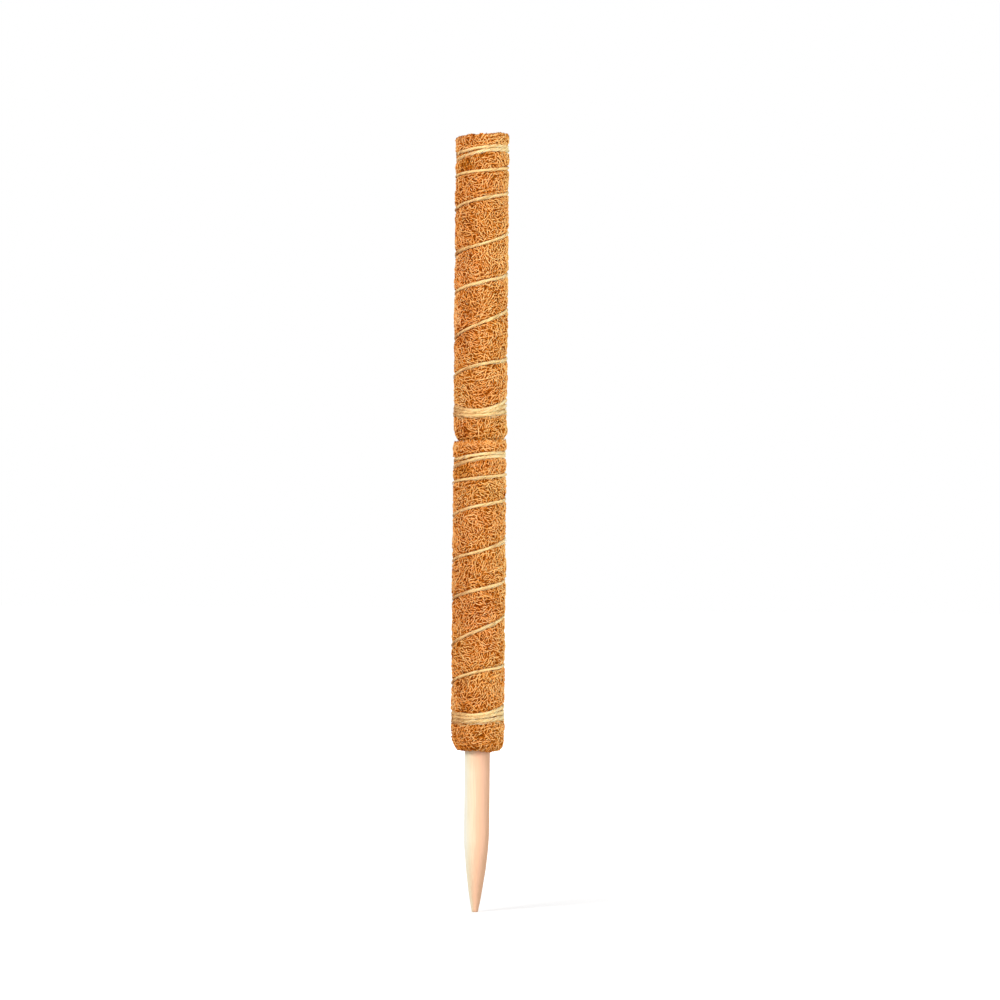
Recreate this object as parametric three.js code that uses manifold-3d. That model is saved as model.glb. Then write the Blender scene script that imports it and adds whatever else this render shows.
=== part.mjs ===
// Stackable coir moss pole: two alike sections, the upper one plugged into the lower one.
// Each section is a plastic tube on a pointed wooden stake, with a coir mat rolled round the
// tube and one jute twine wound round the mat. Millimetres, +Z up. The origin is the blunt tip
// of the lower stake, and the front of the pole faces -Y.
import * as THREE from "three";
import { mergeVertices } from "three/addons/utils/BufferGeometryUtils.js";
import Module from "manifold-3d";

// Stake
const STAKE_DIAMETER = 9.8;
const STAKE_EXPOSED = 62.4; // from the tip to the coir
const TIP_DIAMETER = 2.4; // the point is blunt
const POINT_LENGTH = 30; // sharpened length
const POINT_SHOULDER = 18.5; // height where the slope of the tip would meet the shaft
const STAKE_CHAMFER = 0.8; // on the upper end

// Core tube
const TUBE_WALL = 1.0;
const TUBE_RECESS = 1.0; // of the tube's rim below the top of the coir
const TUBE_CHAMFER = 0.5; // inside both mouths
const SOCKET_SPARE = 8.6; // free length between one stake's upper end and the next one's tip

// Coir mat
const MAT_THICKNESS = 3.8;
const MAT_LENGTH = 118.6;
const MAT_LIP = 2.6; // coir drawn in to the stake below the tube
const MAT_TOP_ROUND = 1.6;
const MAT_BOTTOM_ROUND = 3.6;
const SEAM_WIDTH = 0.5; // slit between the mat's two edges, at the back

// Twine
const TWINE_DIAMETER = 1.25;
const TWINE_SINK = 0.3; // of the twine's outside below the coir's surface
const TURN_SPARE = 0.65; // between neighbouring turns of a band
const GROOVE_FLARE = 0.6; // how far each side of the pressed-in coir slopes outwards
const BOTTOM_BAND_HEIGHT = 10.7; // of the first turn above the mat's lower end
const TOP_BAND_DEPTH = 6.1; // of the last turn below the mat's upper end
const WINDING_SHIFTS = { lower: 0.6, upper: -0.6 }; // of a whole winding, up or down its section
// How far each turn climbs across the front of the pole, from its left side to its right, and
// how far the turns of a band sag at the front
const BOTTOM_BAND_RISES = [1.3, 1.9, 2.9];
const BOTTOM_BAND_SAG = 1.5;
const TOP_BAND_RISES = [4.3, 3.1];
const TOP_BAND_SAG = -0.7; // bowed up
// The open turns between the bands: height above the turn below, climb and sag at the front
const OPEN_TURNS = [
  { step: 13.6, rise: 7.0, sag: -0.8 },
  { step: 16.6, rise: 11.4, sag: 0 },
  { step: 15.6, rise: 7.5, sag: -0.3 },
  { step: 15.4, rise: 8.6, sag: 0.5 },
  { step: 16.3, rise: 6.7, sag: -0.5 },
  { step: 11.1, rise: 3.4, sag: 0 },
];
const LAST_OPEN_STEP = 6.2; // from the last open turn to the top band

// Fits
const FIT_GAP = 0.3; // between pieces that seat on each other
const SECTION_GAP = 0.4; // between the coir ends of two sections

// Facets
const ROUND_SIDES = 24; // round the mat, and steps in each turn of twine
const CORE_SIDES = 32; // round the stake and the tube
const TWINE_SIDES = 6;
const ARC_STEPS = 4; // along each rounded edge
const POINT_STEPS = 6; // along the sharpened point

// Sizes that follow
const SECTION_PITCH = MAT_LENGTH + SECTION_GAP;
const STAKE_RADIUS = STAKE_DIAMETER / 2;
const STAKE_LENGTH = SECTION_PITCH - SOCKET_SPARE;
const BORE_RADIUS = STAKE_RADIUS + FIT_GAP;
const TUBE_RADIUS = BORE_RADIUS + TUBE_WALL;
const MAT_BORE_RADIUS = TUBE_RADIUS + FIT_GAP;
const MAT_RADIUS = MAT_BORE_RADIUS + MAT_THICKNESS;
const MAT_BOTTOM = STAKE_EXPOSED;
const MAT_TOP = MAT_BOTTOM + MAT_LENGTH;
const TUBE_BOTTOM = MAT_BOTTOM + MAT_LIP + FIT_GAP;
const TUBE_TOP = MAT_TOP - TUBE_RECESS;
const TWINE_RADIUS = TWINE_DIAMETER / 2;
const TWINE_PATH_RADIUS = MAT_RADIUS - TWINE_SINK - TWINE_RADIUS;
const BAND_PITCH = TWINE_DIAMETER + TURN_SPARE;

const wasm = await Module();
wasm.setup();

// A closed geometry as a solid that can be cut
function solidOf(geometry) {
  const bare = geometry.clone();
  bare.deleteAttribute("normal");
  bare.deleteAttribute("uv");
  const merged = mergeVertices(bare);
  return new wasm.Manifold(
    new wasm.Mesh({
      numProp: 3,
      vertProperties: new Float32Array(merged.attributes.position.array),
      triVerts: new Uint32Array(merged.index.array),
    }),
  );
}

// A solid back as a geometry
function geometryOf(solid) {
  const mesh = solid.getMesh();
  const geometry = new THREE.BufferGeometry();
  geometry.setAttribute("position", new THREE.BufferAttribute(mesh.vertProperties, 3));
  geometry.setIndex(new THREE.BufferAttribute(mesh.triVerts, 1));
  geometry.computeVertexNormals();
  return geometry;
}

// A profile of (radius, height) points turned round the Z axis
function turned(profile, sides) {
  return new THREE.LatheGeometry(profile, sides).rotateX(Math.PI / 2);
}

// Points on a quarter circle of a profile, from one angle to another
function quarterArc(radius, height, size, fromAngle, toAngle) {
  return Array.from({ length: ARC_STEPS + 1 }, (_, i) => {
    const angle = fromAngle + ((toAngle - fromAngle) * i) / ARC_STEPS;
    return new THREE.Vector2(radius + size * Math.cos(angle), height + size * Math.sin(angle));
  });
}

// Pointed dowel: a bullet-shaped point, a straight shaft and a chamfered upper end
function stakeGeometry() {
  const point = new THREE.QuadraticBezierCurve(
    new THREE.Vector2(TIP_DIAMETER / 2, 0),
    new THREE.Vector2(STAKE_RADIUS, POINT_SHOULDER),
    new THREE.Vector2(STAKE_RADIUS, POINT_LENGTH),
  );
  return turned(
    [
      new THREE.Vector2(0, 0),
      ...point.getPoints(POINT_STEPS),
      new THREE.Vector2(STAKE_RADIUS, STAKE_LENGTH - STAKE_CHAMFER),
      new THREE.Vector2(STAKE_RADIUS - STAKE_CHAMFER, STAKE_LENGTH),
      new THREE.Vector2(0, STAKE_LENGTH),
    ],
    CORE_SIDES,
  );
}

// Plain tube with a chamfer inside each mouth, so that a stake finds its way in
function tubeGeometry() {
  return turned(
    [
      new THREE.Vector2(BORE_RADIUS + TUBE_CHAMFER, TUBE_BOTTOM),
      new THREE.Vector2(TUBE_RADIUS, TUBE_BOTTOM),
      new THREE.Vector2(TUBE_RADIUS, TUBE_TOP),
      new THREE.Vector2(BORE_RADIUS + TUBE_CHAMFER, TUBE_TOP),
      new THREE.Vector2(BORE_RADIUS, TUBE_TOP - TUBE_CHAMFER),
      new THREE.Vector2(BORE_RADIUS, TUBE_BOTTOM + TUBE_CHAMFER),
      new THREE.Vector2(BORE_RADIUS + TUBE_CHAMFER, TUBE_BOTTOM),
    ],
    CORE_SIDES,
  );
}

// The rolled mat before the twine presses into it: rounded outer edges, and a lip that closes
// in to the stake below the tube
function plainMatGeometry() {
  const lipRadius = STAKE_RADIUS + FIT_GAP;
  const bottomRound = quarterArc(
    MAT_RADIUS - MAT_BOTTOM_ROUND,
    MAT_BOTTOM + MAT_BOTTOM_ROUND,
    MAT_BOTTOM_ROUND,
    -Math.PI / 2,
    0,
  );
  const topRound = quarterArc(
    MAT_RADIUS - MAT_TOP_ROUND,
    MAT_TOP - MAT_TOP_ROUND,
    MAT_TOP_ROUND,
    0,
    Math.PI / 2,
  );
  return turned(
    [
      new THREE.Vector2(lipRadius, MAT_BOTTOM),
      ...bottomRound,
      ...topRound,
      new THREE.Vector2(MAT_BORE_RADIUS, MAT_TOP),
      new THREE.Vector2(MAT_BORE_RADIUS, MAT_BOTTOM + MAT_LIP),
      new THREE.Vector2(lipRadius, MAT_BOTTOM + MAT_LIP),
      new THREE.Vector2(lipRadius, MAT_BOTTOM),
    ],
    ROUND_SIDES,
  );
}

// Every turn, from the bottom up: the mean height of its two sides, and its climb and sag at the
// front. Turns of a band lie a pitch apart on the side where they come closest.
function twineTurns(shift) {
  const band = (rises, sag, firstMiddle) => {
    let middle = firstMiddle;
    return rises.map((rise, i) => {
      if (i > 0) middle += BAND_PITCH + Math.abs(rise - rises[i - 1]) / 2;
      return { middle, rise, sag };
    });
  };
  const bottom = band(BOTTOM_BAND_RISES, BOTTOM_BAND_SAG, MAT_BOTTOM + BOTTOM_BAND_HEIGHT + shift);
  const top = band(TOP_BAND_RISES, TOP_BAND_SAG, 0);
  const topShift = MAT_TOP - TOP_BAND_DEPTH + shift - top.at(-1).middle;
  top.forEach((turn) => (turn.middle += topShift));

  // The open turns share out the height between the two bands
  const start = bottom.at(-1).middle;
  const steps = OPEN_TURNS.reduce((sum, turn) => sum + turn.step, LAST_OPEN_STEP);
  const stretch = (top[0].middle - start) / steps;
  let middle = start;
  const open = OPEN_TURNS.map(({ step, rise, sag }) => {
    middle += step * stretch;
    return { middle, rise: rise * stretch, sag };
  });
  return [...bottom, ...open, ...top];
}

// Slope of a smooth curve through evenly spaced heights, flat where the heights turn back
function smoothSlope(heights, i) {
  if (i === 0 || i === heights.length - 1) return 0;
  const before = heights[i] - heights[i - 1];
  const after = heights[i + 1] - heights[i];
  return before * after > 0 ? (2 * before * after) / (before + after) : 0;
}

// The twine's line: a right-handed winding that starts and ends at the back of the pole, with
// straight ends. Each half turn is a smooth step from the height on one side to the other side's,
// and the front ones sag on the way.
function twinePath(endLength, shift) {
  const turns = twineTurns(shift);
  const sides = turns.flatMap(({ middle, rise }) => [middle - rise / 2, middle + rise / 2]);
  const heights = [sides[1] - BAND_PITCH, ...sides, sides.at(-2) + BAND_PITCH];
  const halfSteps = ROUND_SIDES / 2;
  const quarterSteps = ROUND_SIDES / 4;
  const path = [];
  for (let half = 0; half < heights.length - 1; half++) {
    const [low, high] = [heights[half], heights[half + 1]];
    const [slopeIn, slopeOut] = [smoothSlope(heights, half), smoothSlope(heights, half + 1)];
    const sag = half % 2 === 1 ? turns[(half - 1) / 2].sag : 0;
    // The first and last halves are cut to the quarters that reach the back
    const first = half === 0 ? quarterSteps : 0;
    const last = half === heights.length - 2 ? quarterSteps : halfSteps - 1;
    for (let i = first; i <= last; i++) {
      const t = i / halfSteps;
      const height =
        low * (1 + 2 * t) * (1 - t) ** 2 +
        slopeIn * t * (1 - t) ** 2 +
        high * t * t * (3 - 2 * t) +
        slopeOut * t * t * (t - 1) -
        sag * Math.sin(Math.PI * t) ** 2;
      path.push(onPole(Math.PI * (half + t), height));
    }
  }
  path.unshift(straightEnd(path[0], path[1], endLength));
  path.push(straightEnd(path.at(-1), path.at(-2), endLength));
  path.forEach((place, i) => {
    const ahead = path[Math.min(i + 1, path.length - 1)].point;
    const behind = path[Math.max(i - 1, 0)].point;
    const along = ahead.clone().sub(behind);
    place.upward = place.outward.clone().cross(along).normalize();
  });
  return path;
}

// A point of the twine's line at an angle round the pole, with the direction away from the axis
function onPole(angle, height) {
  const outward = new THREE.Vector3(Math.cos(angle), Math.sin(angle), 0);
  return { point: outward.clone().multiplyScalar(TWINE_PATH_RADIUS).setZ(height), outward };
}

// A place past an end of the line, straight on from it
function straightEnd(end, neighbour, length) {
  const away = end.point.clone().sub(neighbour.point).setLength(length);
  return { point: end.point.clone().add(away), outward: end.outward };
}

// A closed tube whose section, in (outward, upward) points, follows a path
function swept(section, path) {
  const positions = [];
  const faces = [];
  const count = section.length;
  path.forEach(({ point, outward, upward }) => {
    section.forEach(({ x, y }) => {
      const corner = point.clone().addScaledVector(outward, x).addScaledVector(upward, y);
      positions.push(...corner.toArray());
    });
  });
  for (let ring = 0; ring < path.length - 1; ring++) {
    for (let side = 0; side < count; side++) {
      const next = (side + 1) % count;
      const [a, b] = [ring * count + side, ring * count + next];
      faces.push(a, a + count, b, b, a + count, b + count);
    }
  }
  const lastRing = (path.length - 1) * count;
  for (let side = 1; side < count - 1; side++) {
    faces.push(0, side, side + 1);
    faces.push(lastRing, lastRing + side + 1, lastRing + side);
  }
  const geometry = new THREE.BufferGeometry();
  geometry.setAttribute("position", new THREE.Float32BufferAttribute(positions, 3));
  geometry.setIndex(faces);
  geometry.computeVertexNormals();
  return geometry;
}

// The twine as one unbroken round cord
function twineGeometry(shift) {
  const section = Array.from({ length: TWINE_SIDES }, (_, i) => {
    const angle = (2 * Math.PI * i) / TWINE_SIDES;
    return new THREE.Vector2(TWINE_RADIUS * Math.cos(angle), TWINE_RADIUS * Math.sin(angle));
  });
  return swept(section, twinePath(TWINE_DIAMETER, shift));
}

// Least free space between two stretches of the twine that are half a turn or more apart
function leastTwineGap(shift) {
  const path = twinePath(TWINE_DIAMETER, shift);
  let least = Infinity;
  path.forEach(({ point }, i) => {
    path.slice(i + ROUND_SIDES / 2).forEach((other) => {
      least = Math.min(least, point.distanceTo(other.point));
    });
  });
  return least - TWINE_DIAMETER;
}

// The coir mat, slit along its seam at the back, with a groove where the twine draws it in
function matGeometry(shift) {
  const path = twinePath(TWINE_DIAMETER + FIT_GAP, shift);
  const seam = new THREE.BoxGeometry(SEAM_WIDTH, 2 * MAT_RADIUS, 2 * MAT_LENGTH);
  seam.translate(0, MAT_RADIUS, MAT_BOTTOM + MAT_LENGTH / 2);
  let mat = solidOf(plainMatGeometry()).subtract(solidOf(seam));

  const inner = TWINE_RADIUS + FIT_GAP;
  const outer = TWINE_SINK + TWINE_DIAMETER;
  const groove = [
    new THREE.Vector2(-inner, -inner),
    new THREE.Vector2(outer, -inner - GROOVE_FLARE),
    new THREE.Vector2(outer, inner + GROOVE_FLARE),
    new THREE.Vector2(-inner, inner),
  ];
  // Cut by half turns, because the grooves of a band run into each other. Each cut starts in the
  // last step of the one before.
  const halfSteps = ROUND_SIDES / 2;
  for (let from = 0; from < path.length - 2; from += halfSteps) {
    mat = mat.subtract(solidOf(swept(groove, path.slice(from, from + halfSteps + 2))));
  }
  return geometryOf(mat);
}

const WOOD = new THREE.MeshStandardMaterial({ color: 0xf2d3a8, roughness: 0.65, metalness: 0 });
const PLASTIC = new THREE.MeshStandardMaterial({ color: 0xc9c7bf, roughness: 0.45, metalness: 0 });
const COIR = new THREE.MeshStandardMaterial({ color: 0xd08442, roughness: 0.95, metalness: 0 });
const JUTE = new THREE.MeshStandardMaterial({ color: 0xe8c68c, roughness: 0.9, metalness: 0 });

// One section of the pole, with its stake's tip at the group's origin
function section(name, shift) {
  const pieces = {
    stake: [stakeGeometry(), WOOD],
    core_tube: [tubeGeometry(), PLASTIC],
    coir_mat: [matGeometry(shift), COIR],
    twine: [twineGeometry(shift), JUTE],
  };
  const group = new THREE.Group();
  for (const [piece, [geometry, material]] of Object.entries(pieces)) {
    const mesh = new THREE.Mesh(geometry, material.clone());
    mesh.name = `${name}_${piece}`;
    group.add(mesh);
  }
  return group;
}

const pole = new THREE.Group();
Object.entries(WINDING_SHIFTS).forEach(([name, shift], i) => {
  const group = section(name, shift);
  group.position.z = i * SECTION_PITCH;
  pole.add(group);
  console.log(`${name} twine: least gap to itself ${leastTwineGap(shift).toFixed(2)} mm`);
});

export default pole;
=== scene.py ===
"""Looks of the coir moss pole: matted fibre, spun twine, turned wood and pipe round the frame.

Shapes are worked out in millimetres in each section's own frame, with the stake's tip at zero,
and scaled to metres when they become meshes. The front of the pole faces -Y.
"""
import math
from collections import namedtuple

import bpy
import numpy as np
from mathutils import Matrix, Vector


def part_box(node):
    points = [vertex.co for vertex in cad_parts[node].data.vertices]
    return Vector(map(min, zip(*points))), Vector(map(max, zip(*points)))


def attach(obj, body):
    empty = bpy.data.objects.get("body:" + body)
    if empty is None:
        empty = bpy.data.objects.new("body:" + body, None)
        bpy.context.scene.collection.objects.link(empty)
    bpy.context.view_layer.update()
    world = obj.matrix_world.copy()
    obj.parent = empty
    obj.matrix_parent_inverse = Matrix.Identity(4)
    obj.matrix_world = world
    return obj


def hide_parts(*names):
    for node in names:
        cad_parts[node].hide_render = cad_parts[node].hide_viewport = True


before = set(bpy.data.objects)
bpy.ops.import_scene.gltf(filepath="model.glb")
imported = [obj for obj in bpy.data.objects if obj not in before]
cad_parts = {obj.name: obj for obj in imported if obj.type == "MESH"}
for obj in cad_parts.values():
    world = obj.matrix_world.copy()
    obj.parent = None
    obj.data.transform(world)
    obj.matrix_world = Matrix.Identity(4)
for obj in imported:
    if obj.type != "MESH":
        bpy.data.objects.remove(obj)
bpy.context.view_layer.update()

MM = 0.001
TURN = 2 * math.pi
TINY = 1e-9  # keeps a division off zero
EDGE = 1e-6  # keeps a field's last place in its last cell
FAR = 1e3  # more than any distance here
BAKE_MAP = "OFBake"

# Random numbers: one seed, and a source for each use in each section
SEED = 41
MAT_SOURCE = 1
STAKE_SOURCE = 2
YARN_SOURCE = 3
LAYER_SOURCE = 10  # of the first layer of fibres, and on from there
FRINGE_SOURCE = 20
LIP_SOURCE = 21


def box_mm(node):
    """Lowest and highest corner of a frame node, in millimetres."""
    low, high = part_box(node)
    return np.array(low) / MM, np.array(high) / MM


# Sizes taken from the frame
STAKE_HIGH = box_mm("lower_stake")[1]
TUBE_LOW, TUBE_HIGH = box_mm("lower_core_tube")
MAT_LOW, MAT_HIGH = box_mm("lower_coir_mat")
STAKE_RADIUS = STAKE_HIGH[0]
STAKE_LENGTH = STAKE_HIGH[2]
TUBE_RADIUS = TUBE_HIGH[0]
MAT_RADIUS = MAT_HIGH[0]
MAT_BOTTOM = MAT_LOW[2]
MAT_TOP = MAT_HIGH[2]
SECTION_PITCH = box_mm("upper_coir_mat")[0][2] - MAT_BOTTOM
JOINT_GAP = SECTION_PITCH - (MAT_TOP - MAT_BOTTOM)

# The two sections: which end of the mat meets the other section, how far the winding is shifted up the
# mat, the share of its sag that the bottom band shows, how far the top is cut back, all round and more
# on the left side, how far the bottom is worn up on the left side, and how far it bulges round the stake
Section = namedtuple("Section", "name height stake_body pole_body joined wind slack trim slant wear bulge")
SECTIONS = (
    Section("lower", 0.0, "lower_pole", "lower_pole", "top",
            wind=0.6, slack=0.5, trim=0.0, slant=0.3, wear=1.4, bulge=0.1),
    Section("upper", SECTION_PITCH, "upper_stake", "upper_pole", "bottom",
            wind=-0.6, slack=1.0, trim=0.8, slant=1.2, wear=0.0, bulge=0.0),
)


def seeded(section, source):
    """A section's random source."""
    return np.random.default_rng((SEED, section.name == "upper", source))


# Changes from place to place

def eased(share):
    """A share from 0 to 1 that starts and ends level."""
    return share**2 * (3 - 2 * share)


def fade(distance, reach):
    """1 at a place, falling evenly to 0 at a distance from it."""
    return np.clip(1 - distance / reach, 0, 1)


def bell(distance, reach):
    """1 at a place, falling off smoothly to both sides of it."""
    return np.exp(-((distance / reach) ** 2))


def leftness(angle):
    """0 on the pole's right side to 1 on its left side."""
    return 0.5 - 0.5 * np.cos(angle)


def turn_from(start, angle):
    """The turn from one angle to others, the short way round."""
    return np.angle(np.exp(1j * (angle - start)))


def smooth_field(rng, cells_round, cells_along):
    """A random field of unit spread over (turn, rise), both 0 to 1, with no seam round the pole."""
    grid = rng.standard_normal((cells_round, cells_along + 1))
    last_place = cells_along - EDGE

    def at(turn, rise):
        x = (turn % 1.0) * cells_round
        y = np.clip(rise, 0, 1) * last_place
        i = np.floor(x).astype(int)
        j = np.floor(y).astype(int)
        fx = eased(x - i)
        fy = eased(y - j)
        i0 = i % cells_round
        i1 = (i + 1) % cells_round
        low = grid[i0, j] * (1 - fx) + grid[i1, j] * fx
        high = grid[i0, j + 1] * (1 - fx) + grid[i1, j + 1] * fx
        return low * (1 - fy) + high * fy

    return at


# Meshes

def make_object(name, points, faces, uvs, material):
    """A smooth mesh object from points in millimetres, faces of one kind and a UV pair per corner."""
    mesh = bpy.data.meshes.new(name)
    mesh.vertices.add(len(points))
    mesh.vertices.foreach_set("co", (points * MM).astype(np.float32).ravel())
    mesh.loops.add(faces.size)
    mesh.loops.foreach_set("vertex_index", faces.astype(np.int32).ravel())
    mesh.polygons.add(len(faces))
    mesh.polygons.foreach_set("loop_start", np.arange(0, faces.size, faces.shape[1], dtype=np.int32))
    mesh.update(calc_edges=True)
    mesh.uv_layers.new(name=BAKE_MAP).data.foreach_set("uv", uvs.astype(np.float32).ravel())
    mesh.polygons.foreach_set("use_smooth", np.ones(len(faces), dtype=bool))
    mesh.materials.append(material)
    obj = bpy.data.objects.new(name, mesh)
    bpy.context.scene.collection.objects.link(obj)
    return obj


def place(obj, section, body, slot, *nodes):
    """Puts a section's piece at its height on the pole, on its body and for its nodes."""
    obj.data.transform(Matrix.Translation((0, 0, section.height * MM)))
    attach(obj, body)
    if nodes:
        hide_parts(*nodes)


def ring_faces(rings, sides, closed_along):
    """Quads between rings of points, each ring closed, and UV pairs over the unrolled surface."""
    steps = rings if closed_along else rings - 1
    i, j = np.meshgrid(np.arange(steps), np.arange(sides), indexing="ij")
    next_i = (i + 1) % rings
    next_j = (j + 1) % sides
    quads = np.stack([i * sides + j, i * sides + next_j, next_i * sides + next_j, next_i * sides + j], -1)
    u = np.stack([j, j + 1, j + 1, j], -1) / sides
    v = np.stack([i, i, i + 1, i + 1], -1) / steps
    return quads.reshape(-1, 4), np.stack([u, v], -1).reshape(-1, 4, 2)


def turned(profile, sides, relief=None):
    """Points of a profile of (radius, height) turned round the axis, with a relief along the radius."""
    angles = TURN * np.arange(sides) / sides
    radius, height = (np.repeat(profile[:, k:k + 1], sides, axis=1) for k in (0, 1))
    if relief is not None:
        radius = radius + relief(angles[None, :], height)
    return np.stack([radius * np.cos(angles), radius * np.sin(angles), height], -1).reshape(-1, 3)


def tubes(lines, radii, outward, sides):
    """Closed tubes round many lines: points, triangles, and the triangles of the first tube.

    Lines and outward are arrays of (line, point, 3), and radii is one of (line, point). The first
    corner of each ring lies on the tube's outer ridge.
    """
    along = np.gradient(lines, axis=1)
    along /= np.linalg.norm(along, axis=2, keepdims=True)
    across = np.cross(along, outward)
    across /= np.linalg.norm(across, axis=2, keepdims=True)
    up = np.cross(across, along)
    angles = TURN * (np.arange(sides) / sides + 0.25)
    ring = across[:, :, None] * np.cos(angles)[:, None] + up[:, :, None] * np.sin(angles)[:, None]
    points = lines[:, :, None] + ring * radii[:, :, None, None]
    count, length = lines.shape[:2]

    i, j = np.meshgrid(np.arange(length - 1), np.arange(sides), indexing="ij")
    a = (i * sides + j).ravel()
    b = (i * sides + (j + 1) % sides).ravel()
    walls = np.stack([a, a + sides, b, b, a + sides, b + sides], -1).reshape(-1, 3)
    fan = np.arange(1, sides - 1)
    start = np.stack([0 * fan, fan, fan + 1], -1)
    end = np.stack([0 * fan, fan + 1, fan], -1) + (length - 1) * sides
    one = np.concatenate([walls, start, end])
    offsets = np.arange(count)[:, None, None] * (length * sides)
    return points.reshape(-1, 3), (one + offsets).reshape(-1, 3), one


MAP_WIDTH = 0.98  # across the map, for the tint
HUE_HEIGHT = 0.86  # up the map, for the hue
ALONG_HEIGHT = 0.12  # up the map, for the place along a tube


def per_point(values, length):
    """Values of each tube, or of each point of each tube, as an array of (tube, point)."""
    return np.broadcast_to(values.reshape(len(values), -1), (len(values), length))


def strip_map(one, sides, length, tint, hue, painted_flank_shade):
    """UV pairs for tubes: across the map lies the tint, and up it the hue and the place along a tube.

    Tint and hue are given for each tube or for each point of each tube. The tint falls from a tube's
    outer ridge to its flanks, as painted shade. Tubes of one tint and hue share a place in the map.
    """
    below = 0.5 - 0.5 * np.cos(TURN * (one % sides) / sides)
    point = one // sides
    tint = per_point(tint, length)[:, point]
    hue = per_point(hue, length)[:, point]
    # painted shade: the tint falls from a tube's ridge towards its flanks
    u = MAP_WIDTH * np.clip(tint - painted_flank_shade * below, 0, 1)
    v = HUE_HEIGHT * hue + ALONG_HEIGHT * point / (length - 1)
    return np.stack([u, v], -1).reshape(-1, 3, 2)


# Twine route: as the frame winds it, with the turns of each band pressed together

YARN_RADIUS = 0.66
YARN_SINK = 0.65  # of the yarn's middle below the mat's outside
TWINE_PATH_RADIUS = MAT_RADIUS - YARN_SINK
BAND_PITCH = 1.1
# The turns from the bottom up: mean height of the two sides above the mat's lower end, then the climb
# across the front from left to right and the sag there
TURNS = (
    (11.35, 1.3, 1.1), (13.1, 1.9, 1.8), (14.95, 2.9, 2.2),
    (28.9, 7.0, -0.8), (45.5, 11.4, 0.0), (61.1, 7.5, -0.3),
    (76.5, 8.6, 0.5), (92.8, 6.7, -0.5), (103.9, 3.4, 0.0),
    (110.3, 4.3, -0.85), (112.35, 2.8, -0.75),
)
BAND_HALVES = 6  # half turns of the bottom band
BANDED = ((3.0, 3.5), (9.1, 9.5))  # turns over which the bottom band opens and the top band closes


def twine_heights():
    """Heights of the twine at its left and right sides, turn by turn from the bottom up."""
    middles, climbs, _ = np.array(TURNS).T
    sides = MAT_BOTTOM + np.stack([middles - climbs / 2, middles + climbs / 2], -1).ravel()
    return np.concatenate([[sides[1] - BAND_PITCH], sides, [sides[-2] + BAND_PITCH]])


def twine_slopes(heights):
    """Slopes of a smooth line through the heights, level where they turn back."""
    before = np.diff(heights)[:-1]
    after = np.diff(heights)[1:]
    slopes = np.zeros(len(heights))
    slopes[1:-1] = np.where(before * after > 0, 2 * before * after / (before + after + TINY), 0)
    return slopes


HEIGHTS = twine_heights()
SLOPES = twine_slopes(HEIGHTS)
SAGS = np.zeros(len(HEIGHTS) - 1)
SAGS[1::2] = [sag for _, _, sag in TURNS]
ROUTE_START = math.pi / 2
ROUTE_END = math.pi * (len(HEIGHTS) - 1.5)
YARN_RUN = (ROUTE_END - ROUTE_START) * TWINE_PATH_RADIUS
BAND_RUNS = (np.array(BANDED) * TURN - ROUTE_START) * TWINE_PATH_RADIUS


def twine_height(angle, section):
    """Height of a section's twine line at an angle counted on from turn to turn."""
    half = np.clip(np.floor(angle / math.pi).astype(int), 0, len(HEIGHTS) - 2)
    t = angle / math.pi - half
    rise = (
        HEIGHTS[half] * (1 + 2 * t) * (1 - t) ** 2
        + SLOPES[half] * t * (1 - t) ** 2
        + HEIGHTS[half + 1] * t * t * (3 - 2 * t)
        + SLOPES[half + 1] * t * t * (t - 1)
    )
    sag = SAGS[half] * np.where(half < BAND_HALVES, section.slack, 1.0)
    return rise + section.wind - sag * np.sin(math.pi * t) ** 2


def twine_distance(angle, height, section):
    """Distance up or down from places on a section's mat to the nearest turn of the twine."""
    angle = angle % TURN
    least = np.full(np.broadcast(angle, height).shape, FAR)
    for turn in range(int(ROUTE_END // TURN) + 1):
        on = angle + turn * TURN
        inside = (on >= ROUTE_START) & (on <= ROUTE_END)
        gap = np.abs(height - twine_height(np.clip(on, ROUTE_START, ROUTE_END), section))
        least = np.minimum(least, np.where(inside, gap, FAR))
    return least


# Coir

FIBRE_DEPTH = 0.6  # of the loose outer fibres over the felted body
END_DEPTH = 0.3  # the same at the two ends, where the mat is cut
FIT_GAP = 0.3  # round the pipe and the stake
TOP_ROUND = (0.7, 0.9)  # across and up
BOTTOM_ROUND = (2.0, 2.9)
INNER_ROUND = 0.7
BORE_DEPTH = 2.1  # of the outline's start below the top
MAT_LIP = 2.6
CORNER_STEPS = (5, 6, 13)  # along the inner, the top and the bottom round
PROFILE_STEP = 0.45


def corner(radius, height, across, up, start, end, steps):
    """Points on an ellipse's arc in (radius, height), with angles in degrees."""
    angles = np.radians(np.linspace(start, end, steps))
    return np.stack([radius + across * np.cos(angles), height + up * np.sin(angles)], -1)


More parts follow.
